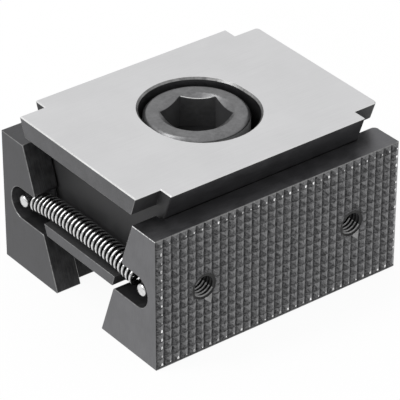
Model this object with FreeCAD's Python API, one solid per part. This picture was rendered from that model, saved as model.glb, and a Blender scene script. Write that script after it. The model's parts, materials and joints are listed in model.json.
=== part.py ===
import FreeCAD, Part
import math
import os

# Wedge clamp. A cap screw draws a wedge down between two serrated jaws and pushes them apart,
# and two extension springs pull the jaws back in when the screw is let out.
# Millimetres. Origin: middle of the footprint, on the plane that the jaws slide on.
# X runs along the jaws, Y is the clamping direction (front jaw at -Y), Z is up.
# The clamp is drawn with the wedge at the top of its travel.

Vector = FreeCAD.Vector
X_AXIS = Vector(1, 0, 0)
Y_AXIS = Vector(0, 1, 0)
Z_AXIS = Vector(0, 0, 1)
ORIGIN = Vector(0, 0, 0)

# Both jaws
jaw_length = 67.0
jaw_height = 33.0
clamp_width = 59.0            # over the tooth tips of both jaws
throat_width = 16.8           # between the inner faces of the jaws, at the base
wedge_angle = 20.0            # of the sliding faces, from the vertical
jaw_corner_radius = 1.2       # of the upright inner corner at +X

# Pyramid teeth milled into the clamping faces
tooth_pitch = 2.17            # aimed at; a whole number of teeth fills the length of the jaw
tooth_depth = 0.95
foot_bevel_angle = 45.0       # of the bevel under the last row, which leaves a straight lower edge

# Pocket in the inner face of a jaw, which holds the wedge lengthways
end_land = 6.4                # length of a jaw beyond each end of its pocket
pocket_depth = 2.2            # along Y
pocket_corner_radius = 0.8

# Tapped holes in the clamping faces, drawn at the size of the tapping drill (M6)
tapped_hole_spacing = 41.0
tapped_hole_height = 16.5
tapped_hole_diameter = 5.0
tapped_hole_depth = 8.0
countersink_diameter = 6.4    # at the bottom of the teeth
countersink_angle = 90.0

# Extension springs, one across each end
spring_diameter = 5.3         # outside
wire_diameter = 0.85
coil_count = 28
coiled_length = 38.4          # stretched, along Y
sides_per_coil = 6            # straight pieces that each turn of the wire is drawn with
spring_end_gap = 0.55         # from the end of the jaw in to the coils
spring_to_lip = 0.06          # where the spring runs over the lip of the wedge
sides_per_hook = 12           # and with which a full turn of a hook would be
hook_slack = 0.2              # by which the hook's middle lies inward of its pin

# Slots in the ends of the jaws for the springs, as deep as the land at the end of the pocket
slot_wall_clearance = 1.35    # round the coils, above and below
slot_mouth_radius = 0.8       # of the edges along which a slot opens at the inner face
slot_arc_offset = 21.65       # from the middle of the clamp to the middle of the slot's round end
slot_height = 17.15           # of the slot's middle above the base

# Pins that the springs hook on
pin_diameter = 3.0
pin_offset = 22.2             # from the middle of the clamp
pin_height = 17.05
pin_end_recess = 0.7          # behind the end of the jaw
pin_seat_depth = 3.0          # pressed into the jaw behind the slot
pin_chamfer = 0.3

# Wedge
wedge_underside = 13.2        # above the base
wedge_height = 26.6
tab_end_gap = 0.3             # by which the end tabs stop short of the ends of the jaws
tab_corner_radius = 1.0       # of the tabs' upright corners at +X
plate_thickness = 4.7         # top tab
plate_side_gap = 1.45         # from the top tab to the jaw's inner face, if that ran on upwards
lip_thickness = 2.8           # bottom tab
lip_side_gap = 0.9
block_end_clearance = 0.5     # between the wedge and the ends of the pocket
block_corner_radius = 0.3
flank_clearance = 0.05        # oil film between the sliding faces, along Y
top_edge_break = 0.25

# Bore of the wedge, a little longer along Y than along X so that the screw can float
bore_float = 1.2              # each way from the middle
head_side_clearance = 0.9
shank_side_clearance = 0.5
bore_rim_chamfer = 0.45

# Cap screw (M16)
screw_offset = 1.1            # towards the rear jaw, within the float
screw_diameter = 16.0
thread_diameter = 14.7        # pitch diameter, at which the thread is drawn plain
plain_shank_length = 10.0
screw_length = 22.0           # under the head
head_diameter = 24.0
head_height = 16.0
head_recess = 1.1             # below the top of the wedge
head_chamfer = 0.8
screw_end_chamfer = 1.0
socket_across_flats = 14.0
socket_depth = 8.0
socket_mouth_diameter = 16.8
socket_mouth_angle = 120.0
socket_turn = 21.0            # of a corner of the hexagon, from the X axis

# What follows from the sizes above
slope = math.tan(math.radians(wedge_angle))
wedge_top = wedge_underside + wedge_height
tip_plane = clamp_width / 2
valley_plane = tip_plane - tooth_depth
coil_outer_radius = spring_diameter / 2
coil_radius = (spring_diameter - wire_diameter) / 2
spring_inset = spring_end_gap + coil_outer_radius
slot_radius = coil_outer_radius + slot_wall_clearance
pocket_length = jaw_length - 2 * end_land
block_length = pocket_length - 2 * block_end_clearance
wedge_length = jaw_length - 2 * tab_end_gap
head_top = wedge_top - head_recess
head_seat = head_top - head_height
screw_tip = head_seat - screw_length
margin = 2.0                  # by which a cutting shape runs past the face it opens


def inner_face(height):
    """Distance of a jaw's inner face from the middle of the clamp, at a height above the base."""
    return throat_width / 2 + height * slope


def prism_x(outline, x_from, x_to):
    """Solid with a straight-sided outline of (y, z) corners, from x_from to x_to."""
    corners = [Vector(x_from, y, z) for y, z in outline]
    face = Part.Face(Part.makePolygon(corners + corners[:1]))
    return face.extrude(Vector(x_to - x_from, 0, 0))


def prism_z(outline, z_from, z_to):
    """Solid with a straight-sided outline of (x, y) corners, from z_from to z_to."""
    corners = [Vector(x, y, z_from) for x, y in outline]
    face = Part.Face(Part.makePolygon(corners + corners[:1]))
    return face.extrude(Vector(0, 0, z_to - z_from))


def tapered_bar(half_width, z_from, z_to, length):
    """Bar along X whose sides lean out by the wedge angle; half_width is a function of height."""
    low = half_width(z_from)
    high = half_width(z_to)
    outline = [(-low, z_from), (low, z_from), (high, z_to), (-high, z_to)]
    return prism_x(outline, -length / 2, length / 2)


def edges_where(shape, wanted):
    """Edges of a shape whose two ends both satisfy a test."""
    return [edge for edge in shape.Edges if all(wanted(vertex.Point) for vertex in edge.Vertexes)]


def upright_edges(shape, wanted):
    """Of those, the ones that rise."""
    return [edge for edge in edges_where(shape, wanted)
            if abs(edge.Vertexes[0].Z - edge.Vertexes[-1].Z) > margin]


# Teeth

def tooth_row(first_tip, step, last_place):
    """Zigzag of (place, y) points, tips and valleys in turn, past both edges of the face."""
    tips = int((last_place - first_tip) / step) + 2
    points = []
    for number in range(-2, tips + 1):
        tip = first_tip + number * step
        points.append((tip, -tip_plane))
        points.append((tip + step / 2, -valley_plane))
    return points


def air_before(zigzag):
    """The same zigzag closed into an outline round the air in front of the teeth."""
    outside = -tip_plane - 2 * margin
    return zigzag + [(zigzag[-1][0], outside), (zigzag[0][0], outside)]


def cut_teeth(jaw):
    """Upright and level V-grooves that cross and leave pyramids.

    The first level groove has its bottom on the top edge, which stays straight.
    """
    teeth_along = round(jaw_length / tooth_pitch)
    step_along = jaw_length / teeth_along
    along = tooth_row(-jaw_length / 2 + step_along / 2, step_along, jaw_length / 2)
    jaw = jaw.cut(prism_z(air_before(along), -margin, jaw_height + margin))
    up = tooth_row(jaw_height - tooth_pitch / 2, -tooth_pitch, 0)
    outline = [(y, z) for z, y in air_before(up)]
    half = jaw_length / 2 + margin
    return jaw.cut(prism_x(outline, -half, half))


# Jaws

def pocket_tool():
    """Material milled out of the front jaw's inner face, with rounded upright corners."""
    reach = inner_face(jaw_height) + pocket_depth
    half = pocket_length / 2
    low = -margin
    high = jaw_height + margin
    floor_low = -(inner_face(low) + pocket_depth)
    floor_high = -(inner_face(high) + pocket_depth)
    outline = [(floor_low, low), (reach, low), (reach, high), (floor_high, high)]
    tool = prism_x(outline, -half, half)
    corners = upright_edges(tool, lambda point: point.y < 0)
    return tool.makeFillet(pocket_corner_radius, corners)


def slot_mouth(x_face, wall_height, outward):
    """Arc from a wall of the slot into the inner face; outward is 1 above the slot, -1 below."""
    radius = slot_mouth_radius
    height = wall_height + outward * radius
    middle = Vector(x_face, -inner_face(height) - radius / math.cos(math.radians(wedge_angle)), height)
    on_wall = -90 * outward
    points = []
    for angle in (on_wall, (on_wall + wedge_angle) / 2, wedge_angle):
        turn = math.radians(angle)
        points.append(middle + Vector(0, math.cos(turn), math.sin(turn)) * radius)
    return points


def spring_slot_tool(end):
    """Slot with a round outer end, open at the inner face; end is -1 at -X and 1 at +X."""
    arc_y = -slot_arc_offset
    bottom = slot_height - slot_radius
    top = slot_height + slot_radius
    x_face = end * (jaw_length / 2 + margin)
    travel = -end * (end_land + margin)
    low_outer = Vector(x_face, arc_y, bottom)
    far_outer = Vector(x_face, arc_y - slot_radius, slot_height)
    top_outer = Vector(x_face, arc_y, top)
    upper = slot_mouth(x_face, top, 1)
    lower = slot_mouth(x_face, bottom, -1)
    upper_end = Vector(x_face, 0, upper[2].z)
    lower_end = Vector(x_face, 0, lower[2].z)
    face = Part.Face(Part.Wire([
        Part.Arc(low_outer, far_outer, top_outer).toShape(),
        Part.makeLine(top_outer, upper[0]),
        Part.Arc(*upper).toShape(),
        Part.makeLine(upper[2], upper_end),
        Part.makeLine(upper_end, lower_end),
        Part.makeLine(lower_end, lower[2]),
        Part.Arc(*lower[::-1]).toShape(),
        Part.makeLine(lower[0], low_outer),
    ]))
    return face.extrude(Vector(travel, 0, 0))


def pin_places():
    """Middle of each spring pin's free end, by name, with the side of the clamp it faces."""
    x_free = jaw_length / 2 - pin_end_recess
    places = {}
    for jaw_name, side in (("front", -1), ("rear", 1)):
        for end_name, end in (("left", -1), ("right", 1)):
            places[f"{jaw_name}_{end_name}_spring_pin"] = (end * x_free, side * pin_offset, end)
    return places


def pin_length():
    return end_land - pin_end_recess + pin_seat_depth


def pin_hole_tool(end):
    """Blind hole behind a slot of the front jaw, for the pressed end of a spring pin."""
    start = Vector(end * (jaw_length / 2 - pin_end_recess), -pin_offset, pin_height)
    return Part.makeCylinder(pin_diameter / 2, pin_length(), start, X_AXIS * -end)


def tapped_hole_tool(x_place):
    """Blind hole with a countersink through the teeth."""
    radius = tapped_hole_diameter / 2
    inward = Vector(0, 1, 0)
    mouth = Vector(x_place, -tip_plane - margin, tapped_hole_height)
    hole = Part.makeCylinder(radius, margin + tooth_depth + tapped_hole_depth, mouth, inward)
    flare = math.tan(math.radians(countersink_angle / 2))
    outer_radius = countersink_diameter / 2 + (tooth_depth + margin) * flare
    sink_depth = (outer_radius - radius) / flare
    return hole.fuse(Part.makeCone(outer_radius, radius, sink_depth, mouth, inward))


def make_front_jaw():
    blank_face = -tip_plane - margin
    bevel_height = (tooth_depth + margin) * math.tan(math.radians(foot_bevel_angle))
    outline = [
        (-valley_plane, 0),
        (-inner_face(0), 0),
        (-inner_face(jaw_height), jaw_height),
        (blank_face, jaw_height),
        (blank_face, bevel_height),
    ]
    jaw = prism_x(outline, -jaw_length / 2, jaw_length / 2)
    inner_corner = upright_edges(
        jaw, lambda point: point.x > 0 and point.y > -inner_face(jaw_height) - margin)
    jaw = jaw.makeFillet(jaw_corner_radius, inner_corner)
    jaw = jaw.cut(pocket_tool())
    for end in (-1, 1):
        jaw = jaw.cut(spring_slot_tool(end))
        jaw = jaw.cut(pin_hole_tool(end))
    jaw = cut_teeth(jaw)
    for side in (-1, 1):
        jaw = jaw.cut(tapped_hole_tool(side * tapped_hole_spacing / 2))
    return jaw


def make_rear_jaw(front_jaw):
    """The same jaw of the other hand."""
    return front_jaw.mirror(ORIGIN, Y_AXIS)


# Wedge

def bore_outline(radius, height):
    """Round outline stretched along Y by the float, at a height."""
    low_right = Vector(radius, -bore_float, height)
    low_middle = Vector(0, -bore_float - radius, height)
    low_left = Vector(-radius, -bore_float, height)
    top_left = Vector(-radius, bore_float, height)
    top_middle = Vector(0, bore_float + radius, height)
    top_right = Vector(radius, bore_float, height)
    return Part.Wire([
        Part.Arc(low_right, low_middle, low_left).toShape(),
        Part.makeLine(low_left, top_left),
        Part.Arc(top_left, top_middle, top_right).toShape(),
        Part.makeLine(top_right, low_right),
    ])


def bore_tool(radius, z_from, z_to):
    return Part.Face(bore_outline(radius, z_from)).extrude(Vector(0, 0, z_to - z_from))


def make_wedge():
    def flank(height):
        return inner_face(height) + pocket_depth - flank_clearance

    def plate_side(height):
        return inner_face(height) - plate_side_gap

    def lip_side(height):
        return inner_face(height) - lip_side_gap

    block = tapered_bar(flank, wedge_underside, wedge_top, block_length)
    block = block.makeFillet(block_corner_radius, upright_edges(block, lambda point: True))
    plate = tapered_bar(plate_side, wedge_top - plate_thickness, wedge_top, wedge_length)
    lip = tapered_bar(lip_side, wedge_underside, wedge_underside + lip_thickness, wedge_length)
    tabs = []
    for tab in (plate, lip):
        tabs.append(tab.makeFillet(tab_corner_radius, upright_edges(tab, lambda point: point.x > 0)))
    wedge = block.fuse(tabs).removeSplitter()
    outline_edges = edges_where(wedge, lambda point: point.z > wedge_top - top_edge_break / 2)
    wedge = wedge.makeChamfer(top_edge_break, outline_edges)
    head_bore = head_diameter / 2 + head_side_clearance
    shank_bore = screw_diameter / 2 + shank_side_clearance
    wedge = wedge.cut(bore_tool(head_bore, head_seat, wedge_top + margin))
    wedge = wedge.cut(bore_tool(shank_bore, wedge_underside - margin, head_seat + margin))
    rim_low = bore_outline(head_bore, wedge_top - bore_rim_chamfer)
    rim_high = bore_outline(head_bore + bore_rim_chamfer, wedge_top)
    rim = Part.makeLoft([rim_low, rim_high], True, True)
    return wedge.cut(rim)


# Screw

def make_clamping_screw():
    """Revolved body with a hexagon socket."""
    head = head_diameter / 2
    shank = screw_diameter / 2
    thread = thread_diameter / 2
    plain_end = head_seat - plain_shank_length
    profile = [
        (0, head_top),
        (head - head_chamfer, head_top),
        (head, head_top - head_chamfer),
        (head, head_seat),
        (shank, head_seat),
        (shank, plain_end),
        (thread, plain_end),
        (thread, screw_tip + screw_end_chamfer),
        (thread - screw_end_chamfer, screw_tip),
        (0, screw_tip),
    ]
    corners = [Vector(radius, 0, height) for radius, height in profile]
    body = Part.Face(Part.makePolygon(corners + corners[:1])).revolve(ORIGIN, Z_AXIS, 360)
    across_corners = socket_across_flats / math.cos(math.radians(30))
    hexagon = []
    for number in range(6):
        angle = math.radians(socket_turn + 60 * number)
        hexagon.append((across_corners / 2 * math.cos(angle), across_corners / 2 * math.sin(angle)))
    socket = prism_z(hexagon, head_top - socket_depth, head_top + margin)
    flats = socket_across_flats / 2
    mouth = socket_mouth_diameter / 2
    mouth_depth = (mouth - flats) / math.tan(math.radians(socket_mouth_angle / 2))
    mouth_cone = Part.makeCone(mouth, flats, mouth_depth, Vector(0, 0, head_top), -Z_AXIS)
    screw = body.cut(socket.fuse(mouth_cone))
    screw.translate(Vector(0, screw_offset, 0))
    return screw


# Spring pins

def make_spring_pin(x_free, y_place, end):
    """Dowel from its free end, whose edge is broken, into the jaw."""
    start = Vector(x_free, y_place, pin_height)
    pin = Part.makeCylinder(pin_diameter / 2, pin_length(), start, X_AXIS * -end)
    rim = [edge for edge in pin.Edges if edge.Closed and abs(edge.CenterOfMass.x - x_free) < pin_chamfer]
    return pin.makeChamfer(pin_chamfer, rim)


# Springs

def spring_axis(x_place, y_place):
    """Middle line of a spring: from pin to pin, arched over the lip of the wedge."""
    lip_top = wedge_underside + lip_thickness
    lip_half_width = inner_face(lip_top) - lip_side_gap
    rise_at_lip = lip_top + coil_outer_radius + spring_to_lip - pin_height
    rise = rise_at_lip / (1 - (lip_half_width / pin_offset) ** 3)
    share = abs(y_place) / pin_offset
    return Vector(x_place, y_place, pin_height + rise * (1 - share ** 3))


def coil_points(x_place):
    """Middle of the wire along the coils, which start and end at the bottom."""
    total = coil_count * sides_per_coil
    points = []
    for number in range(total + 1):
        angle = 2 * math.pi * number / sides_per_coil - math.pi / 2
        y_place = coiled_length * (number / total - 0.5)
        radial = Vector(math.cos(angle), 0, math.sin(angle))
        points.append(spring_axis(x_place, y_place) + radial * coil_radius)
    return points


def hook_points(coil_end, side):
    """Middle of the wire from the end of the coils round a pin; side is -1 in front, 1 behind."""
    middle = Vector(coil_end.x, side * (pin_offset - hook_slack), pin_height)
    bottom = middle - Z_AXIS * coil_radius
    points = [coil_end + (bottom - coil_end) * 0.5]
    sides = round(sides_per_hook * 0.75)
    for number in range(sides + 1):
        angle = 2 * math.pi * number / sides_per_hook - math.pi / 2
        reach = Vector(0, side * math.cos(angle), math.sin(angle))
        points.append(middle + reach * coil_radius)
    return points


def wire_through(points):
    """Solid wire of four-sided section through a row of points, all of flat facets."""
    sections = []
    side = X_AXIS
    for number, point in enumerate(points):
        before = points[max(number - 1, 0)]
        after = points[min(number + 1, len(points) - 1)]
        along = (after - before).normalize()
        side = (side - along * side.dot(along)).normalize()
        across = along.cross(side)
        reach = wire_diameter / 2
        sections.append([point + side * reach, point + across * reach,
                         point - side * reach, point - across * reach])
    facets = [sections[0][::-1], sections[-1]]
    for near, far in zip(sections, sections[1:]):
        for number in range(len(near)):
            following = (number + 1) % len(near)
            facets.append([near[number], near[following], far[following]])
            facets.append([near[number], far[following], far[number]])
    faces = [Part.Face(Part.makePolygon(facet + facet[:1])) for facet in facets]
    shell = Part.makeShell(faces)
    shell.sewShape()
    return Part.makeSolid(shell)


def make_spring(end):
    """Extension spring across one end of the clamp, with a hook round a pin at each end."""
    coils = coil_points(end * (jaw_length / 2 - spring_inset))
    front_hook = hook_points(coils[0], -1)
    rear_hook = hook_points(coils[-1], 1)
    return wire_through(front_hook[::-1] + coils + rear_hook)


def make_parts():
    """Every piece of the clamp, by the name of its file."""
    front_jaw = make_front_jaw()
    parts = {
        "front_jaw": front_jaw,
        "rear_jaw": make_rear_jaw(front_jaw),
        "wedge": make_wedge(),
        "clamping_screw": make_clamping_screw(),
        "left_spring": make_spring(-1),
        "right_spring": make_spring(1),
    }
    for name, (x_free, y_place, end) in pin_places().items():
        parts[name] = make_spring_pin(x_free, y_place, end)
    return parts


os.makedirs("parts", exist_ok=True)
for part_name, part_shape in make_parts().items():
    part_shape.exportStep(f"parts/{part_name}.step")
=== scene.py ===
import json
import math
import random

import bmesh
import bpy
from mathutils import Matrix, Vector


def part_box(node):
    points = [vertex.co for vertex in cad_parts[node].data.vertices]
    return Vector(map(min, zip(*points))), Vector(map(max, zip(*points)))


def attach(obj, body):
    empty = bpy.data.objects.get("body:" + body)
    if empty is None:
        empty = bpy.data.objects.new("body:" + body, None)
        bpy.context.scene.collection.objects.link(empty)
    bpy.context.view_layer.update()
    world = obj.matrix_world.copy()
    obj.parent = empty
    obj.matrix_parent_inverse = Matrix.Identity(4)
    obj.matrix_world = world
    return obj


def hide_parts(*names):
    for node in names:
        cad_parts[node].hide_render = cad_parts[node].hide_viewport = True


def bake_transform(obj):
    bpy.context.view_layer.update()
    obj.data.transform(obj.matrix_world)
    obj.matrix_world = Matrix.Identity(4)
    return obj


# Wedge clamp: a cap screw draws a wedge down between two serrated jaws, and two springs
# pull the jaws back in. Metres, in the solids' frame: X along the jaws, Y from the front jaw
# to the rear one, Z up. The clamp stands on its jaws, with the wedge at the top of its travel.

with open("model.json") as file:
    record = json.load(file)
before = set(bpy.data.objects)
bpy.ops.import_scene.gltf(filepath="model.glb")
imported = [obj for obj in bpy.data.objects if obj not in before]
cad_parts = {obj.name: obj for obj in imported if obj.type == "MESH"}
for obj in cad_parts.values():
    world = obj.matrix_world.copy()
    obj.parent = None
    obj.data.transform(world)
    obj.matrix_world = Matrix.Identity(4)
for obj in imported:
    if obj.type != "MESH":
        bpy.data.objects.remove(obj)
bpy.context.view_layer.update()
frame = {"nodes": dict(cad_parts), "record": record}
MM = 0.001

# Sizes that the solids and their mounts give
JAW_END, TIP_PLANE, JAW_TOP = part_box("rear_jaw")[1]
WEDGE_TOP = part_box("wedge")[1].z
SCREW_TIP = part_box("clamping_screw")[0].z
HEAD_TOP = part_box("clamping_screw")[1].z
mounts = {mount["name"]: mount for mount in frame["record"]["mounts"]}
tapped_holes = mounts["rear_jaw_holes"]
HOLE_X = tapped_holes["dims"]["spacing_x_mm"] / 2 * MM
HOLE_Z = tapped_holes["pos_m"][2]
HOLE_RADIUS = tapped_holes["dims"]["hole_r_mm"] * MM
SCREW_Y = mounts["drive_socket"]["pos_m"][1]

# Teeth
TOOTH_DEPTH = 0.95 * MM
VALLEY_PLANE = TIP_PLANE - TOOTH_DEPTH
TEETH_ALONG = 31
TOOTH_STEP = 2 * JAW_END / TEETH_ALONG
OUTER_ROWS = (3 * MM, 31 * MM)        # the lowest row lies below, and the highest above
OUTER_COLUMNS = 31.5 * MM             # the last columns lie beyond, from the middle
LEVEL_RISE = 0.46 * MM                # of the level grooves' bottoms over the upright ones'
GROOVE_SHADE_DEPTH = 0.3 * MM                 # over which the bottoms of the grooves are painted darker: painted shade
TIP_WORN = 0.06 * MM                  # worn off the teeth
OUTER_TIP_WORN = (0.1 * MM, 0.15 * MM, 0.2 * MM)
TEETH_CLEAR = 0.15 * MM               # behind the teeth; the edges further back are broken
HIGHLIGHT_LEAN = 0.2                      # share of a flank's normal to one side; with more, painted highlight
SHADE_LEAN = 0.5                       # share to the other side; with more, painted shade
DOWN_SHADE_LEAN = 0.2                       # share downward; with more, painted shade too

# Tapped holes
HOLE_DEPTH = 8 * MM                   # from the bottom of the teeth
HOLE_FLOOR = VALLEY_PLANE - HOLE_DEPTH
HOLE_CLEAR = 4 * MM                   # from its axis; the edges further out are broken
WIDENED_RADIUS = 3.05 * MM            # of the copied hole, behind the thread
M6_ROOT = 3.02 * MM
M6_PITCH = 1.0 * MM
M6_TURNS = 10                         # more than the hole is deep
M6_STEPS = 40                         # straight pieces in a turn
CREST_BAND = 0.2 * MM                 # from the crest of the thread
CREST_PAINTED_LIGHT = 1.2 * MM               # below the hole's axis; the crests lower down are painted lighter: painted light
SINK_RADIUS = 3.2 * MM                # of the countersink, at the bottom of the teeth
SINK_RIM = 4.2 * MM                   # just outside the countersink, at the tips of the teeth
SINK_TURN = 0.6                       # share of a normal towards the axis; its cone has more
MOUTH_DEPTH = 0.15 * MM               # over which a thread runs out at its mouth
RIM_HIGHLIGHT_DEPTH = 0.7 * MM                  # below the teeth, to which the painted highlight on a hole's lower rim reaches
RIM_HIGHLIGHT_ACROSS = (0.2 * MM, 2.4 * MM)     # from the hole's axis to one side, the patch of painted highlight
RIM_HIGHLIGHT_BELOW = (2.4 * MM, 4.3 * MM)      # from the axis down, the same patch

# Slots for the springs, in the ends of the jaws
SLOT_LOW = 12.3 * MM                  # with the rounded edges of its mouth
SLOT_HIGH = 22.0 * MM
SLOT_OUT = 25.7 * MM                  # from the middle of the clamp
SLOT_REACH = 26.0 * MM                # the slots lie further out along X

# Edges
EDGE_WIDTH = 0.17 * MM                # of a jaw's broken edges
BORDER = 0.24 * MM                    # of the strip along a jaw's upper edge, rubbed and painted bright as highlight
WEDGE_EDGE_WIDTH = 0.14 * MM
HEAD_EDGE_WIDTH = 0.3 * MM
SOCKET_EDGE_WIDTH = 0.1 * MM

# Wedge
BLOCK_END = 26.6 * MM                 # of the block between the end tabs, from the middle
BORE_REACH = 15 * MM                  # from the axis; the bore lies within
TOP_BAND = 0.4 * MM                   # below the top; its chamfered edges lie above
RIM_BAND = 0.46 * MM                  # below the top; the chamfers of top and bore lie above
RECESS_BAND = (0.2 * MM, 1 * MM)      # inward and outward of the block's end, for its edges
END_TURN = 0.7                        # share of a normal along X; the tabs' ends have more

# Screw
HEAD_RADIUS = 12 * MM
HEAD_EDGE = 0.9 * MM                  # below the head's top; its chamfer lies above
SOCKET_MOUTH = 8.4 * MM               # radius of the countersink of the socket
SOCKET_FLOOR = HEAD_TOP - 8 * MM
M16_CREST = 7.9 * MM
M16_ROOT = 6.8 * MM
M16_PITCH = 2.0 * MM
M16_TURNS = 9
M16_STEPS = 64                        # straight pieces in a turn
M16_START = -3.0 * MM                 # lowest height of the thread, before it is cut
THREAD_TOP = HEAD_TOP - 26 * MM       # under the head and the plain shank
CORE_SHARE = 0.9                      # to which the solid's plain thread shrinks
POINT_RADIUS = 6.7 * MM               # of the screw's end
RUN_OUT = 0.7                         # slope with which the thread dies away at its top
RUN_OUT_REST = 0.05 * MM              # height of the thread that is left at its top
HIGHLIGHT_WAY = Vector((0.6, 0.8))       # from the axis to where the socket's edge keeps a painted highlight
HIGHLIGHT_COSINE = 0.9                   # of half the angle over which it keeps it

# Springs
SPRING_X = 30.3 * MM
WIRE_RADIUS = 0.425 * MM
COIL_RADIUS = 2.225 * MM              # to the middle of the wire
COILS = 28
COIL_STEPS = 20
COILED_LENGTH = 38.4 * MM
PIN_Y = 22.2 * MM
PIN_Z = 17.05 * MM
LIP_HALF = 13.34 * MM                 # of the wedge's lip, at its top
LIP_TOP = 16.0 * MM
SPRING_TO_LIP = 0.06 * MM
HOOK_SLACK = 0.2 * MM                 # by which a hook's middle lies inward of its pin
HOOK_TURN = 1.5 * math.pi
HOOK_STEPS = 18

# Dome of a dowel's free end: how far in from its side, and how far short of its end
DOME = ((0.675 * MM, 0.015 * MM), (0.32 * MM, 0.05 * MM), (0.08 * MM, 0.24 * MM),
        (0, 0.42 * MM))

# Form of a thread over one pitch: how far out from root to crest, and how far along
THREAD_FORM = ((0, 0), (0, 0.08), (1, 0.42), (1, 0.64), (0.5, 0.81), (0, 0.98), (0, 1))

# Working distances and angles
NEAR = 0.01 * MM                      # within which a point lies on a plane
MERGE = 0.001 * MM                    # corners that are nearer become one
CUT_SLACK = 0.0001 * MM
FIT = 0.02 * MM                       # between a new surface and the one that it lies on
FACET_WIDTH = 1.6 * MM                # no flat strip of a curved wall is wider
TRIANGLE_ANGLE = 0.6                  # degrees; triangles that meet at less are one face
FLAT_ANGLE = 1                        # degrees; faces that meet at less are in one plane
CURVE_ANGLE = 22                      # degrees; the strips of a curved wall meet at less
CORNER_ANGLE = 25                     # degrees; the edges that are broken are sharper
BEVEL_ANGLE = 50                      # degrees; the strips of a bevel meet at less
SQUARE = 0.95                         # share of a normal along an axis; the face is square to it
SLOPING = 0.9                         # the same; the face may slope a little
TURNED = 0.3                          # the same; the face is turned that way at least
PARALLEL = 0.2                        # the same; with less, the face is parallel to the axis


# Materials

MOTTLE_BAND = (0.35, 0.65)            # of the mottle, over which the roughness changes
ROUGHNESS_SPREAD = 0.06               # by which it changes, up and down
WIRE_HIGHLIGHT_BAND = (0.55, 0.98)           # of the wire's attribute, over which its painted highlight comes in


def colour(text):
    """sRGB hex value as linear light."""
    parts = [int(text[place:place + 2], 16) / 255 for place in (1, 3, 5)]
    linear = [v / 12.92 if v <= 0.04045 else ((v + 0.055) / 1.055) ** 2.4 for v in parts]
    return (*linear, 1.0)


def add(tree, kind, inputs=None, **settings):
    """One shader node with its settings; an input is a value or another node's output."""
    made = tree.nodes.new(kind)
    for name, value in settings.items():
        setattr(made, name, value)
    for key, value in (inputs or {}).items():
        if isinstance(value, bpy.types.NodeSocket):
            tree.links.new(value, made.inputs[key])
        else:
            made.inputs[key].default_value = value
    return made


def new_material(name):
    material = bpy.data.materials.new(name)
    material.use_nodes = True
    tree = material.node_tree
    return material, tree, tree.nodes["Principled BSDF"]


def metal(name, dark, light, roughness, stroke, blotch=4.0, bump=0.004, purity=1.0,
          softness=0.12, groove_shade=1.0, flank=1.0):
    """Steel whose colour wanders between two greys in blotches, with fine tool strokes.

    stroke is the size along X, Y and Z of the grain that the tool leaves, blotch that of the
    blotches, and bump the depth of the grain, all in millimetres. purity is how far the skin
    behaves as bare metal. softness is how slowly one grey turns into the other. The next
    argument is what is left of the brightness at the bottom of the grooves between the teeth,
    which are painted darker there: painted shade. The last is what is left of it on a spring's
    wire away from the outside of the coils, where the wire is painted darker: painted shade,
    which leaves a painted highlight along the outside.
    """
    material, tree, shader = new_material(name)
    place = add(tree, "ShaderNodeTexCoord").outputs["Object"]
    cloud = add(tree, "ShaderNodeTexNoise",
                {"Vector": place, "Scale": 1 / (blotch * MM), "Detail": 4.0, "Roughness": 0.6})
    strokes = add(tree, "ShaderNodeMapping",
                  {"Vector": place, "Scale": [1 / (size * MM) for size in stroke]})
    grain = add(tree, "ShaderNodeTexNoise",
                {"Vector": strokes.outputs["Vector"], "Scale": 1.0, "Detail": 3.0,
                 "Roughness": 0.65})
    both = add(tree, "ShaderNodeMath",
               {0: cloud.outputs["Fac"], 1: grain.outputs["Fac"]}, operation="ADD")
    mottle = add(tree, "ShaderNodeMath", {0: both.outputs[0], 1: 0.5}, operation="MULTIPLY")
    greys = add(tree, "ShaderNodeValToRGB", {"Fac": mottle.outputs[0]})
    ends = ((0.5 - softness, dark), (0.5 + softness, light))
    for element, (position, text) in zip(greys.color_ramp.elements, ends):
        element.position = position
        element.color = colour(text)
    tint = greys.outputs["Color"]
    shades = []
    # Painted shade: darker towards the bottom of the grooves between the teeth.
    if groove_shade < 1:
        along = add(tree, "ShaderNodeSeparateXYZ", {"Vector": place})
        out = add(tree, "ShaderNodeMath", {0: along.outputs["Y"]}, operation="ABSOLUTE")
        shades.append(add(tree, "ShaderNodeMapRange",
                          {"Value": out.outputs[0], "From Min": VALLEY_PLANE,
                           "From Max": VALLEY_PLANE + GROOVE_SHADE_DEPTH, "To Min": groove_shade}))
    # Painted shade on the wire's sides, which leaves a painted highlight along the outside.
    if flank < 1:
        outside = add(tree, "ShaderNodeAttribute", attribute_name="outside")
        shades.append(add(tree, "ShaderNodeMapRange",
                          {"Value": outside.outputs["Fac"], "From Min": WIRE_HIGHLIGHT_BAND[0],
                           "From Max": WIRE_HIGHLIGHT_BAND[1], "To Min": flank}))
    for shade in shades:
        tint = add(tree, "ShaderNodeVectorMath", {0: tint, 1: shade.outputs["Result"]},
                   operation="MULTIPLY").outputs["Vector"]
    tree.links.new(tint, shader.inputs["Base Color"])
    rough = add(tree, "ShaderNodeMapRange",
                {"Value": mottle.outputs[0], "From Min": MOTTLE_BAND[0],
                 "From Max": MOTTLE_BAND[1], "To Min": roughness - ROUGHNESS_SPREAD,
                 "To Max": roughness + ROUGHNESS_SPREAD})
    tree.links.new(rough.outputs["Result"], shader.inputs["Roughness"])
    relief = add(tree, "ShaderNodeBump",
                 {"Height": grain.outputs["Fac"], "Strength": 0.6, "Distance": bump * MM})
    tree.links.new(relief.outputs["Normal"], shader.inputs["Normal"])
    shader.inputs["Metallic"].default_value = purity
    return material


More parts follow.
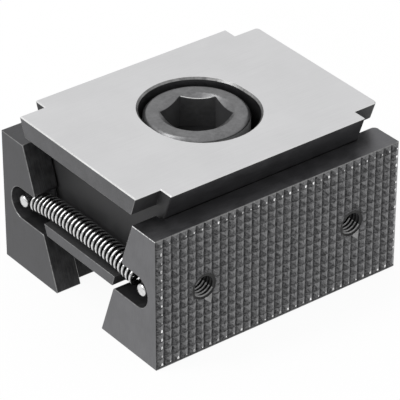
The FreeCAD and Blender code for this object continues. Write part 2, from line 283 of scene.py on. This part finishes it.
# Tool steel, milled and then blackened in a hot salt bath: a dark grey, satin skin. The
# rear jaw's skin is painted a little darker: painted shade.
front_skin = metal("black_oxide_steel", "#68686A", "#767678", 0.42, (3.0, 0.25, 3.0))
rear_skin_painted_shade = metal("black_oxide_painted_shade_steel", "#525253", "#5D5D5F", 0.42, (3.0, 0.25, 3.0))
# The same skin over upright strokes of an end mill, on the sloping inner faces: matt, and
# painted much darker as painted shade between the jaws.
milled_painted_shade = metal("milled_black_oxide_painted_shade_steel", "#29292A", "#444445", 0.50, (0.22, 3.5, 3.5),
                    blotch=2.5, purity=0.3, softness=0.10)
# The wedge's blackened flanks, with strokes along it; and the recesses at its ends, matt and
# painted darker as painted shade.
wedge_skin = metal("black_oxide_wedge_steel", "#5A5A5B", "#69696B", 0.40, (6.0, 0.3, 0.3))
recess_painted_shade = metal("matt_black_oxide_painted_shade_steel", "#2D2D2E", "#383839", 0.60, (2.0, 0.4, 2.0),
                    purity=0.15)
# Teeth, blackened. Flanks that face one way along X, and flanks that face down, are painted
# darker as painted shade; flanks that face the other way are painted lighter as painted
# highlight. The mottling is drawn as coarse as it needs to show.
tooth_painted_shade = metal("tooth_flank_painted_shade_steel", "#3A3A3B", "#707071", 0.50, (0.30, 0.30, 0.30),
                   blotch=0.7, softness=0.08, groove_shade=0.45)
tooth_skin = metal("tooth_black_oxide_steel", "#646465", "#8C8C8D", 0.46, (0.30, 0.30, 0.30),
                   blotch=0.7, softness=0.08, groove_shade=0.5)
tooth_painted_highlight = metal("tooth_flank_painted_highlight_steel", "#868687", "#9C9C9D", 0.42,
                    (0.30, 0.30, 0.30), blotch=0.7)
# Where the skin is rubbed off along an edge, steel shows through; the edges are painted
# brighter as painted highlight too.
worn_edge_and_highlight = metal("worn_edge_and_highlight_steel", "#727272", "#949494", 0.38, (0.6, 0.6, 0.6),
                    blotch=1.5)
# A patch on the lower rim of a tapped hole, on faces that turn upward, painted bright:
# painted highlight.
rim_painted_highlight = metal("rim_painted_highlight_steel", "#828282", "#A4A4A4", 0.36, (0.4, 0.4, 0.4),
                   blotch=1.0)
# Tips of the outer teeth, knocked bright, some more than others.
bright_tip = metal("knocked_tip_steel", "#9C9C9C", "#FFFFFF", 0.30, (0.4, 0.4, 0.4),
                   blotch=1.6, softness=0.07)
# Surface-ground top: bright, with fine strokes of the grinding wheel along X.
ground_top = metal("ground_steel", "#DADADB", "#E1E1E2", 0.36, (14.0, 0.22, 0.22),
                   blotch=12.0, bump=0.001)
# Chamfered edges, ground and painted brighter still: painted highlight, on the screw's socket
# too.
ground_edge_highlight = metal("ground_edge_highlight_steel", "#E0E0E0", "#ECECEC", 0.30, (3.0, 0.4, 0.4))
# Cold-headed alloy steel screw, blackened and oiled, with its socket's walls painted darker:
# painted shade.
screw_black = metal("blackened_screw_steel", "#707071", "#868687", 0.38, (0.8, 0.8, 0.8),
                    blotch=3.0)
socket_painted_shade = metal("socket_wall_painted_shade_steel", "#414142", "#4E4E4F", 0.48, (0.8, 0.8, 0.8),
                     blotch=3.0, purity=0.3)
# The side of its head is left matt, and painted lighter as painted light that falls into the
# bore.
head_side_painted_light = metal("matt_screw_side_painted_light_steel", "#8A8A8B", "#A0A0A1", 0.55, (0.6, 0.6, 2.0),
                  blotch=2.0, purity=0.2)
# Cut threads: the crests of their lower half are painted lighter as painted light, and the
# roots near black as painted shade.
thread_crest_painted_light = metal("cut_thread_crest_painted_light", "#7A7A7A", "#A2A2A2", 0.34, (0.5, 0.5, 0.5),
                     blotch=1.0)
thread_root = metal("thread_root_painted_shade_steel", "#121212", "#1C1C1C", 0.50, (0.5, 0.5, 0.5),
                    blotch=1.0, purity=0.3)
# Walls of the springs' slots and the tapped holes, and the socket's floor, painted dark:
# painted shade.
deep_painted_shade = metal("deep_painted_shade_black_oxide_steel", "#202021", "#2B2B2C", 0.50, (0.5, 0.5, 0.5),
                  blotch=2.0, purity=0.3)
# Hard-drawn spring wire, oiled: painted bright along the outside of the coils as painted
# highlight, and darker on the wire's sides as painted shade.
spring_wire = metal("drawn_spring_wire_painted_highlight", "#DEDEDE", "#F6F6F6", 0.22, (0.5, 0.5, 0.5),
                    blotch=1.0, bump=0.0005, flank=0.12)
# Dowel steel, ground bright all round.
pin_steel = metal("ground_pin_steel", "#CDCDCD", "#E6E6E6", 0.28, (0.5, 0.5, 0.5), blotch=0.8)


# Helpers for meshes

def unique(items):
    """Each item once, in the order in which they come."""
    return list(dict.fromkeys(items))


def everything(bm):
    return bm.verts[:] + bm.edges[:] + bm.faces[:]


def copied(node):
    """A solid's mesh, with its triangles merged back into flat faces."""
    bm = bmesh.new()
    bm.from_mesh(frame["nodes"][node].data)
    bmesh.ops.remove_doubles(bm, verts=bm.verts, dist=MERGE)
    bmesh.ops.dissolve_limit(bm, angle_limit=math.radians(TRIANGLE_ANGLE), verts=bm.verts,
                             edges=bm.edges)
    return bm


def edge_angle(edge):
    return math.degrees(edge.calc_face_angle(0.0))


def from_axis(point, y_place=0.0):
    """Distance of a point from an upright axis in the middle of the clamp's length."""
    return math.hypot(point.x, point.y - y_place)


def shade_by_form(bm):
    """Curved walls are shaded smooth, plane faces flat, and sharp edges stay sharp."""
    for edge in bm.edges:
        edge.smooth = edge_angle(edge) < CURVE_ANGLE
    for face in bm.faces:
        face.smooth = any(FLAT_ANGLE < edge_angle(edge) < CURVE_ANGLE
                          and face.calc_area() < edge.calc_length() * FACET_WIDTH
                          for edge in face.edges)


def smooth(bm, sharp=35):
    """Shades a whole mesh smooth, but for its sharp edges."""
    for face in bm.faces:
        face.smooth = True
    for edge in bm.edges:
        edge.smooth = edge_angle(edge) < sharp


def broken_edges(bm, wanted, width, material, steps=3):
    """Bevels the sharp edges that pass a test, and gives the bevels a material."""
    edges = [edge for edge in bm.edges if edge_angle(edge) > CORNER_ANGLE and wanted(edge)]
    made = bmesh.ops.bevel(bm, geom=edges, offset=width, offset_type="OFFSET", segments=steps,
                           profile=0.5, affect="EDGES", clamp_overlap=False, material=material)
    for face in made["faces"]:
        face.smooth = True
        for edge in face.edges:
            edge.smooth = edge_angle(edge) < BEVEL_ANGLE


def cut(bm, parts, place, normal, drop=False):
    """Cuts parts of a mesh along a plane, drops what is beyond if asked, and gives the rim."""
    made = bmesh.ops.bisect_plane(bm, geom=parts, dist=CUT_SLACK, plane_co=place,
                                  plane_no=normal, clear_outer=drop)
    return [item for item in made["geom_cut"] if isinstance(item, bmesh.types.BMEdge)]


def parts_of(faces):
    """Faces with their corners and edges."""
    corners = unique(vert for face in faces for vert in face.verts)
    edges = unique(edge for face in faces for edge in face.edges)
    return corners + edges + faces


def set_radius(vert, radius):
    """Moves a corner straight out from the Z axis, or in, to a distance."""
    share = radius / from_axis(vert.co)
    vert.co.x *= share
    vert.co.y *= share


def piece(bm, name, body, materials, replaced=()):
    """Makes an object of a mesh, and ties it to its body."""
    mesh = bpy.data.meshes.new(name)
    bm.to_mesh(mesh)
    bm.free()
    for material in materials:
        mesh.materials.append(material)
    obj = bpy.data.objects.new(name, mesh)
    bpy.context.scene.collection.objects.link(obj)
    if body:
        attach(obj, body)
    if replaced:
        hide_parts(*replaced)
    return obj


# Jaws

# Places of the finishes in a jaw's list of materials
(SKIN, WORN_AND_HIGHLIT, KNOCKED, MILLED_SHADE, TOOTH_SHADE, TOOTH_PLAIN, TOOTH_HIGHLIGHT, MATT_SHADE, DEEP_SHADE,
 RIM_HIGHLIGHT) = range(10)


def to_hole(point):
    """Way from a point straight to the axis of the nearer tapped hole."""
    return Vector((math.copysign(HOLE_X, point.x) - point.x, 0, HOLE_Z - point.z))


def widen_holes(bm, side):
    """Moves the walls of the tapped holes out, behind the threads."""
    for vert in bm.verts:
        inward = to_hole(vert.co)
        in_hole = HOLE_FLOOR - MM < vert.co.y * side < VALLEY_PLANE
        if in_hole and abs(inward.length - HOLE_RADIUS) < NEAR:
            vert.co += inward.normalized() * (inward.length - WIDENED_RADIUS)


def raise_level_grooves(bm, side):
    """Makes the level grooves shallower over each row of ridges than the upright ones.

    The two at the jaw's upper and lower edges stay as they are, and the lower edge is cut back
    to the bottom of the grooves, so both edges are straight.
    """
    for vert in bm.verts:
        if vert.co.z < NEAR and vert.co.y * side > VALLEY_PLANE:
            vert.co.y = side * VALLEY_PLANE
    valleys = []
    for edge in bm.edges:
        low, high = (vert.co for vert in edge.verts)
        deep = all(abs(abs(vert.co.y) - VALLEY_PLANE) < NEAR for vert in edge.verts)
        level = abs(low.z - high.z) < NEAR and MM < low.z < JAW_TOP - MM
        if deep and level and abs(abs(low.x - high.x) - TOOTH_STEP) < 0.1 * MM:
            valleys.append(edge)
    made = bmesh.ops.subdivide_edges(bm, edges=valleys, cuts=1)
    middles = [item for item in made["geom_inner"] if isinstance(item, bmesh.types.BMVert)]
    for vert in middles:
        vert.co.y += side * LEVEL_RISE
        for face in list(vert.link_faces):
            tips = [other for other in face.verts if other.co.y * side > TIP_PLANE - NEAR]
            if tips:
                bmesh.utils.face_split(face, vert, tips[0])


def wear_tips(bm, side, tips, worn, finish):
    """Cuts the tips of some teeth off flat."""
    faces = unique(face for tip in tips for face in tip.link_faces)
    rims = cut(bm, parts_of(faces), (0, side * (TIP_PLANE - worn), 0), (0, side, 0), drop=True)
    for face in bmesh.ops.holes_fill(bm, edges=rims, sides=0)["faces"]:
        face.material_index = finish


def wear_teeth(bm, side):
    """Wears the teeth, and the outer ones more, each by its own chance."""
    chance = random.Random(side)
    low, high = OUTER_ROWS
    tips = [vert for vert in bm.verts if vert.co.y * side > TIP_PLANE - NEAR]
    outer = [tip for tip in tips
             if not low < tip.co.z < high or abs(tip.co.x) > OUTER_COLUMNS]
    inner = [tip for tip in tips if tip not in outer]
    for tip in outer:
        wear_tips(bm, side, [tip], chance.choice(OUTER_TIP_WORN), KNOCKED)
    wear_tips(bm, side, [tip for tip in inner if tip.is_valid], TIP_WORN, TOOTH_PLAIN)


def mark_border(bm, side):
    """Cuts the teeth and the end face at -X along the top strip, rubbed and painted highlight."""
    upright = [face for face in bm.faces if abs(face.normal.z) < SQUARE and (
        face.calc_center_median().y * side > VALLEY_PLANE or face.normal.x < -SLOPING)]
    cut(bm, parts_of(upright), (0, 0, JAW_TOP - BORDER), (0, 0, 1))


def in_countersink(face):
    """Whether a face is part of the cone that opens a tapped hole through the teeth."""
    inward = to_hole(face.calc_center_median())
    return inward.length < SINK_RIM and face.normal.dot(inward.normalized()) > SINK_TURN


def in_rim_highlight(face, side):
    """Whether a face is on the patch of a tapped hole's lower rim with a painted highlight."""
    middle = face.calc_center_median()
    inward = to_hole(middle)
    return (middle.y * side > VALLEY_PLANE - RIM_HIGHLIGHT_DEPTH and face.normal.z > TURNED
            and RIM_HIGHLIGHT_ACROSS[0] < side * inward.x < RIM_HIGHLIGHT_ACROSS[1]
            and RIM_HIGHLIGHT_BELOW[0] < inward.z < RIM_HIGHLIGHT_BELOW[1])


def flank_light_and_shade(face, side):
    """Finish of a tooth's flank by the way it faces: painted highlight, painted shade or plain.
    """
    along = -side * face.normal.x
    if face.calc_center_median().z > JAW_TOP - BORDER:
        return WORN_AND_HIGHLIT
    if along > HIGHLIGHT_LEAN:
        return TOOTH_HIGHLIGHT
    if in_countersink(face):
        return TOOTH_PLAIN
    dark = along < -SHADE_LEAN or face.normal.z < -DOWN_SHADE_LEAN
    return TOOTH_SHADE if dark else TOOTH_PLAIN


def dress_jaw(bm, side):
    """Gives each face of a jaw the finish of its place, painted highlight and shade among them.
    """
    for face in bm.faces:
        middle = face.calc_center_median()
        normal = face.normal
        out = middle.y * side
        in_slot = SLOT_LOW < middle.z < SLOT_HIGH and out < SLOT_OUT
        # The broken edges at the +X end take the darker matt skin instead: painted shade.
        if face.material_index == WORN_AND_HIGHLIT and middle.x > JAW_END - 2 * EDGE_WIDTH:
            face.material_index = MATT_SHADE
        elif face.material_index != SKIN:
            continue
        elif in_rim_highlight(face, side):
            face.material_index = RIM_HIGHLIGHT
        elif out > VALLEY_PLANE and abs(normal.y) < SQUARE and abs(normal.z) < SQUARE:
            face.material_index = flank_light_and_shade(face, side)
        # The sloping inner faces take the darker milled skin: painted shade.
        elif normal.y * side < -SLOPING:
            face.material_index = MILLED_SHADE
        # The walls of the springs' slots are painted dark: painted shade.
        elif in_slot and abs(middle.x) > SLOT_REACH and abs(normal.x) < PARALLEL:
            face.material_index = DEEP_SHADE
        # The top strip of the end face at -X is rubbed bright and painted highlight.
        elif normal.x < -SLOPING and middle.z > JAW_TOP - BORDER:
            face.material_index = KNOCKED if side < 0 else WORN_AND_HIGHLIT


def make_jaw(name, node, body, side, skin):
    """Copy of a jaw with worn teeth, broken edges and room for real threads."""

    def away_from_teeth(edge):
        return all(abs(vert.co.y) < VALLEY_PLANE - TEETH_CLEAR
                   and to_hole(vert.co).length > HOLE_CLEAR for vert in edge.verts)

    bm = copied(node)
    widen_holes(bm, side)
    raise_level_grooves(bm, side)
    wear_teeth(bm, side)
    mark_border(bm, side)
    shade_by_form(bm)
    broken_edges(bm, away_from_teeth, EDGE_WIDTH, WORN_AND_HIGHLIT)
    dress_jaw(bm, side)
    finishes = [skin, worn_edge_and_highlight, bright_tip, milled_painted_shade, tooth_painted_shade, tooth_skin, tooth_painted_highlight,
                recess_painted_shade, deep_painted_shade, rim_painted_highlight]
    return piece(bm, name, body, finishes, [node])


make_jaw("serrated_front_jaw", "front_jaw", "front_jaw", -1, front_skin)
make_jaw("serrated_rear_jaw", "rear_jaw", "rear_jaw", 1, rear_skin_painted_shade)


# Threads

def thread_sweep(bm, root, crest, pitch, turns, steps, start):
    """Screw thread about Z: its form over one pitch, swept round and up."""
    verts = [bm.verts.new((root + out * (crest - root), 0, start + along * pitch))
             for out, along in THREAD_FORM]
    edges = [bm.edges.new(pair) for pair in zip(verts, verts[1:])]
    bmesh.ops.spin(bm, geom=verts + edges, cent=(0, 0, 0), axis=(0, 0, 1),
                   dvec=(0, 0, pitch / steps), angle=2 * math.pi * turns, steps=steps * turns,
                   use_duplicate=False)
    bmesh.ops.remove_doubles(bm, verts=bm.verts, dist=MERGE)


def cut_flat(bm, height, up):
    """Cuts a mesh square across at a height, drops what is beyond and gives the rim."""
    return cut(bm, everything(bm), (0, 0, height), (0, 0, 1 if up else -1), drop=True)


def make_tapped_hole(name, body, side, x_place):
    """Inside of an M6 thread, from the countersink to the floor of the hole."""
    highlit, root, deep_shade = range(3)         # places of the finishes
    bm = bmesh.new()
    thread_sweep(bm, M6_ROOT, HOLE_RADIUS, M6_PITCH, M6_TURNS, M6_STEPS, -M6_PITCH)
    cut_flat(bm, HOLE_DEPTH - FIT, True)
    floor_rim = cut_flat(bm, FIT, False)
    cut(bm, everything(bm), (0, 0, HOLE_DEPTH - MOUTH_DEPTH), (0, 0, 1))
    for vert in bm.verts:
        if vert.co.z > HOLE_DEPTH - FIT - NEAR:
            set_radius(vert, SINK_RADIUS)
    floor = bmesh.ops.holes_fill(bm, edges=floor_rim, sides=0)["faces"][0]
    bmesh.ops.recalc_face_normals(bm, faces=bm.faces)
    if floor.normal.z < 0:
        bmesh.ops.reverse_faces(bm, faces=bm.faces)
    bm.transform(Matrix.Rotation(math.radians(-90 * side), 4, "X"))
    bmesh.ops.translate(bm, vec=(x_place, side * HOLE_FLOOR, HOLE_Z), verts=bm.verts)
    smooth(bm)
    # Lower crests painted lighter: painted light; the rest painted dark: painted shade.
    for face in bm.faces:
        middle = face.calc_center_median()
        on_crest = to_hole(middle).length < HOLE_RADIUS + CREST_BAND
        if middle.y * side > VALLEY_PLANE - MOUTH_DEPTH:
            face.material_index = root
        elif on_crest and middle.z < HOLE_Z - CREST_PAINTED_LIGHT:
            face.material_index = highlit
        else:
            face.material_index = deep_shade if on_crest or face.normal.y * side > TURNED else root
    return piece(bm, name, body, [thread_crest_painted_light, thread_root, deep_painted_shade])


for jaw_name, jaw_side in (("front", -1), ("rear", 1)):
    for end_name, end in (("left", -1), ("right", 1)):
        make_tapped_hole(f"{jaw_name}_{end_name}_thread", f"{jaw_name}_jaw", jaw_side,
                         end * HOLE_X)


# Wedge

def make_wedge():
    """Copy of the wedge with broken edges, a ground top and painted shade in the end recesses."""
    highlit, ground, ground_rim, matt = range(1, 5)     # places of the finishes after the skin

    def plain_edge(edge):
        at_top = all(vert.co.z > WEDGE_TOP - TOP_BAND for vert in edge.verts)
        return not at_top and all(from_axis(vert.co) > BORE_REACH for vert in edge.verts)

    bm = copied("wedge")
    shade_by_form(bm)
    broken_edges(bm, plain_edge, WEDGE_EDGE_WIDTH, highlit)
    for face in bm.faces:
        middle = face.calc_center_median()
        normal = face.normal
        reach = abs(middle.x)
        beyond_block = reach > BLOCK_END - RECESS_BAND[0]
        if normal.z > SQUARE and middle.z > WEDGE_TOP - NEAR:
            face.material_index = ground
        # The chamfers round the top and the bore's rim are painted brighter: painted highlight.
        elif TURNED < normal.z < SQUARE and middle.z > WEDGE_TOP - RIM_BAND:
            face.material_index = highlit if from_axis(middle) < BORE_REACH else ground_rim
        # The recesses beyond the block take the darker matt skin: painted shade.
        elif beyond_block and (abs(normal.x) < END_TURN or reach < BLOCK_END + RECESS_BAND[1]):
            face.material_index = matt
    return piece(bm, "ground_wedge", "wedge",
                 [wedge_skin, worn_edge_and_highlight, ground_top, ground_edge_highlight, recess_painted_shade],
                 ["wedge"])


make_wedge()


# Screw

def make_screw():
    """Copy of the cap screw, whose plain thread shrinks to a core inside the real one."""
    head, wall, bright, matt, deep_shade = range(5)          # places of the finishes

    def head_rim(edge):
        return all(vert.co.z > HEAD_TOP - HEAD_EDGE
                   and from_axis(vert.co, SCREW_Y) > HEAD_RADIUS - MM for vert in edge.verts)

    def socket_rim(edge):
        at_mouth = all(vert.co.z > HEAD_TOP - HEAD_EDGE
                       and from_axis(vert.co, SCREW_Y) < SOCKET_MOUTH + NEAR
                       for vert in edge.verts)
        steep = [face for face in edge.link_faces if abs(face.normal.z) < PARALLEL]
        return at_mouth and len(steep) == 1

    bm = copied("clamping_screw")
    shade_by_form(bm)
    for vert in bm.verts:
        if vert.co.z < THREAD_TOP + NEAR and from_axis(vert.co, SCREW_Y) < M16_CREST:
            vert.co.x *= CORE_SHARE
            vert.co.y = SCREW_Y + (vert.co.y - SCREW_Y) * CORE_SHARE
    broken_edges(bm, head_rim, HEAD_EDGE_WIDTH, head)
    broken_edges(bm, socket_rim, SOCKET_EDGE_WIDTH, bright, steps=2)
    for face in bm.faces:
        middle = face.calc_center_median()
        radius = from_axis(middle, SCREW_Y)
        way = Vector((middle.x, middle.y - SCREW_Y))
        in_socket = (radius < SOCKET_MOUTH - NEAR
                     and SOCKET_FLOOR - NEAR < middle.z < HEAD_TOP - HEAD_EDGE)
        # The socket's bright edge is kept only on one side, where it is a painted highlight.
        if face.material_index == bright and way.dot(HIGHLIGHT_WAY) < radius * HIGHLIGHT_COSINE:
            face.material_index = head
        # The socket's walls and floor are painted darker: painted shade.
        elif face.material_index == head and in_socket:
            face.material_index = deep_shade if face.normal.z > SQUARE else wall
        # The head's side is painted lighter: painted light.
        elif radius > HEAD_RADIUS - HEAD_EDGE and abs(face.normal.z) < PARALLEL:
            face.material_index = matt
    finishes = [screw_black, socket_painted_shade, ground_edge_highlight, head_side_painted_light, deep_painted_shade]
    return piece(bm, "cap_screw", "clamping_screw", finishes, ["clamping_screw"])


def make_screw_thread():
    """M16 thread with a chamfered point, which runs out under the plain shank."""
    bm = bmesh.new()
    thread_sweep(bm, M16_ROOT, M16_CREST, M16_PITCH, M16_TURNS, M16_STEPS, M16_START)
    top = cut_flat(bm, THREAD_TOP, True)
    bottom = cut_flat(bm, SCREW_TIP + FIT, False)
    for vert in bm.verts:
        at_point = POINT_RADIUS + (vert.co.z - SCREW_TIP)
        at_top = M16_ROOT + RUN_OUT_REST + (THREAD_TOP - vert.co.z) * RUN_OUT
        set_radius(vert, min(from_axis(vert.co), at_point, at_top))
    bmesh.ops.holes_fill(bm, edges=top + bottom, sides=0)
    bmesh.ops.recalc_face_normals(bm, faces=bm.faces)
    bmesh.ops.translate(bm, vec=(0, SCREW_Y, 0), verts=bm.verts)
    smooth(bm)
    return piece(bm, "cap_screw_thread", "clamping_screw", [screw_black])


make_screw()
make_screw_thread()


# Springs and their pins

def spring_middle(x_place, y_place):
    """Middle of the coils: highest over the wedge's lip, and level with the pins at its ends."""
    rise_at_lip = LIP_TOP + COIL_RADIUS + WIRE_RADIUS + SPRING_TO_LIP - PIN_Z
    rise = rise_at_lip / (1 - (LIP_HALF / PIN_Y) ** 3)
    return Vector((x_place, y_place, PIN_Z + rise * (1 - (abs(y_place) / PIN_Y) ** 3)))


def spring_line(x_place):
    """Middle of the wire: hook, coils, hook."""
    total = COILS * COIL_STEPS
    coils = []
    for number in range(total + 1):
        angle = 2 * math.pi * number / COIL_STEPS - math.pi / 2
        middle = spring_middle(x_place, COILED_LENGTH * (number / total - 0.5))
        coils.append(middle + Vector((math.cos(angle), 0, math.sin(angle))) * COIL_RADIUS)
    hooks = []
    for side, end in ((-1, coils[0]), (1, coils[-1])):
        centre = Vector((x_place, side * (PIN_Y - HOOK_SLACK), PIN_Z))
        bend = []
        for number in range(HOOK_STEPS + 1):
            angle = HOOK_TURN * number / HOOK_STEPS - math.pi / 2
            way = Vector((0, side * math.cos(angle), math.sin(angle)))
            bend.append(centre + way * COIL_RADIUS)
        hooks.append([end.lerp(bend[0], 0.5)] + bend)
    return hooks[0][::-1] + coils + hooks[1]


def wire_mesh(name, points):
    """Round wire along points, as a closed mesh."""
    curve = bpy.data.curves.new(name, "CURVE")
    curve.dimensions = "3D"
    curve.bevel_depth = WIRE_RADIUS
    curve.bevel_resolution = 3
    curve.use_fill_caps = True
    spline = curve.splines.new("POLY")
    spline.points.add(len(points) - 1)
    for point, place in zip(spline.points, points):
        point.co = (*place, 1.0)
    drawn = bpy.data.objects.new(name + "_line", curve)
    bpy.context.scene.collection.objects.link(drawn)
    bpy.context.view_layer.update()
    bm = bmesh.new()
    bm.from_mesh(bpy.data.meshes.new_from_object(drawn))
    bmesh.ops.remove_doubles(bm, verts=bm.verts, dist=MERGE)
    bmesh.ops.recalc_face_normals(bm, faces=bm.faces)
    bpy.data.objects.remove(drawn)
    bpy.data.curves.remove(curve)
    return bm


def make_spring(name, node, x_place):
    """Extension spring; its attribute tells how far out on the coils a point of the wire is,
    which places the wire's painted highlight.
    """
    bm = wire_mesh(name, spring_line(x_place))
    smooth(bm, sharp=60)
    outside = bm.verts.layers.float.new("outside")
    for vert in bm.verts:
        middle = spring_middle(x_place, vert.co.y)
        reach = math.hypot(vert.co.x - x_place, vert.co.z - middle.z)
        vert[outside] = (reach - COIL_RADIUS) / WIRE_RADIUS
    obj = piece(bm, name, None, [spring_wire], [node])
    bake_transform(obj)
    return obj


make_spring("left_coil_spring", "left_spring", -SPRING_X)
make_spring("right_coil_spring", "right_spring", SPRING_X)


def make_pin(name, node, body):
    """Dowel turned from an outline: domed free end, plain body."""
    low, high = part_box(node)
    centre = (low + high) / 2
    end = -1 if centre.x < 0 else 1
    free = max(abs(low.x), abs(high.x))
    inner = min(abs(low.x), abs(high.x))
    radius = (high.z - low.z) / 2
    dome = [(radius - inward, free - short) for inward, short in DOME]
    outline = [(0, free), *dome, (radius, inner), (0, inner)]
    bm = bmesh.new()
    verts = [bm.verts.new((end * x_place, out, 0)) for out, x_place in outline]
    edges = [bm.edges.new(pair) for pair in zip(verts, verts[1:])]
    bmesh.ops.spin(bm, geom=verts + edges, cent=(0, 0, 0), axis=(1, 0, 0), dvec=(0, 0, 0),
                   angle=2 * math.pi, steps=40, use_merge=True, use_duplicate=False)
    bmesh.ops.remove_doubles(bm, verts=bm.verts, dist=MERGE)
    bmesh.ops.recalc_face_normals(bm, faces=bm.faces)
    bmesh.ops.translate(bm, vec=(0, centre.y, centre.z), verts=bm.verts)
    smooth(bm)
    return piece(bm, name, body, [pin_steel], [node])


for jaw_name in ("front", "rear"):
    for end_name in ("left", "right"):
        make_pin(f"{jaw_name}_{end_name}_dowel", f"{jaw_name}_{end_name}_spring_pin",
                 f"{jaw_name}_jaw")


# Floor

FLOOR_HALF = 3.0
FLOOR_GAP = 0.02 * MM                 # under the jaws, so that the two aren't in one plane
FLOOR_WHITE = 0.94                    # share of plain white that the camera sees; the rest shades


def floor_material():
    """White table: plain white to the camera and in gloss but for the clamp's shadow.

    It is clear from below, where the underside of the clamp is looked at.
    """
    material, tree, shader = new_material("white_table")
    shader.inputs["Base Color"].default_value = colour("#F2F2F2")
    shader.inputs["Roughness"].default_value = 0.9
    shader.inputs["Specular IOR Level"].default_value = 0.1
    paths = add(tree, "ShaderNodeLightPath").outputs
    seen = add(tree, "ShaderNodeMath", {0: paths["Is Camera Ray"], 1: paths["Is Glossy Ray"]},
               operation="MAXIMUM")
    seen = add(tree, "ShaderNodeMath", {0: seen.outputs[0], 1: paths["Is Transmission Ray"]},
               operation="MAXIMUM")
    share = add(tree, "ShaderNodeMath", {0: seen.outputs[0], 1: FLOOR_WHITE},
                operation="MULTIPLY")
    white = add(tree, "ShaderNodeEmission", {"Color": colour("#FFFFFF"), "Strength": 1.0})
    table = add(tree, "ShaderNodeMixShader",
                {0: share.outputs[0], 1: shader.outputs[0], 2: white.outputs[0]})
    below = add(tree, "ShaderNodeNewGeometry").outputs["Backfacing"]
    nothing = add(tree, "ShaderNodeBsdfTransparent").outputs[0]
    both = add(tree, "ShaderNodeMixShader", {0: below, 1: table.outputs[0], 2: nothing})
    tree.links.new(both.outputs[0], tree.nodes["Material Output"].inputs["Surface"])
    return material


def make_floor():
    bm = bmesh.new()
    bmesh.ops.create_grid(bm, x_segments=1, y_segments=1, size=FLOOR_HALF)
    bmesh.ops.translate(bm, vec=(0, 0, -FLOOR_GAP), verts=bm.verts)
    mesh = bpy.data.meshes.new("floor")
    bm.to_mesh(mesh)
    bm.free()
    mesh.materials.append(floor_material())
    obj = bpy.data.objects.new("floor", mesh)
    bpy.context.scene.collection.objects.link(obj)


make_floor()


# Light

HORIZON = 0.35                        # light of the studio near the horizon
OVERHEAD = 0.87
SKY_BAND = (0.05, 0.35)               # of the height of a direction, over which it brightens
LAMP_AIM = (0, 0, 0.02)


def make_world():
    """Grey studio: dim round the horizon, bright overhead, and white to the camera."""
    world = bpy.data.worlds.new("studio")
    bpy.context.scene.world = world
    world.use_nodes = True
    tree = world.node_tree
    plain = tree.nodes["Background"]
    direction = add(tree, "ShaderNodeTexCoord").outputs["Generated"]
    height = add(tree, "ShaderNodeSeparateXYZ", {"Vector": direction})
    sky = add(tree, "ShaderNodeMapRange",
              {"Value": height.outputs["Z"], "From Min": SKY_BAND[0], "From Max": SKY_BAND[1],
               "To Min": HORIZON, "To Max": OVERHEAD})
    tree.links.new(sky.outputs["Result"], plain.inputs["Color"])
    paths = add(tree, "ShaderNodeLightPath")
    white = add(tree, "ShaderNodeBackground", {"Color": colour("#FFFFFF"), "Strength": 1.0})
    mixed = add(tree, "ShaderNodeMixShader", {0: paths.outputs["Is Camera Ray"],
                                              1: plain.outputs[0], 2: white.outputs[0]})
    tree.links.new(mixed.outputs[0], tree.nodes["World Output"].inputs["Surface"])


def make_softbox(name, place, power, size, long_way):
    """Lamp that looks at the clamp, with its longer side along a direction."""
    lamp = bpy.data.lights.new(name, "AREA")
    lamp.energy = power
    lamp.shape = "RECTANGLE"
    lamp.size, lamp.size_y = size
    obj = bpy.data.objects.new(name, lamp)
    aim = (Vector(LAMP_AIM) - Vector(place)).normalized()
    across = aim.cross(Vector(long_way)).normalized()
    turn = Matrix((across, across.cross(aim), -aim)).transposed()
    obj.matrix_world = Matrix.Translation(place) @ turn.to_4x4()
    bpy.context.scene.collection.objects.link(obj)


make_world()
make_softbox("strip_softbox", place=(-0.62, 0.25, 0.72), power=4.4, size=(0.2, 1.0),
             long_way=(1, 0, 1))


# Camera

CAMERA_PLACE = (-0.32957, -0.43220, 0.36123)
CAMERA_WAY = (0.5120, 0.6712, -0.5360)
CAMERA_LENS = 258.26                  # millimetres, before a sensor 36 wide


def make_camera():
    """Camera at the photograph's viewing angle, found from the jaws' and the wedge's edges."""
    lens = bpy.data.cameras.new("camera")
    lens.sensor_width = 36
    lens.lens = CAMERA_LENS
    lens.clip_start = 0.01
    lens.clip_end = 20
    obj = bpy.data.objects.new("camera", lens)
    bpy.context.scene.collection.objects.link(obj)
    obj.location = CAMERA_PLACE
    obj.rotation_euler = Vector(CAMERA_WAY).to_track_quat("-Z", "Y").to_euler()
    bpy.context.scene.camera = obj


make_camera()
bpy.context.scene.view_settings.view_transform = "Standard"
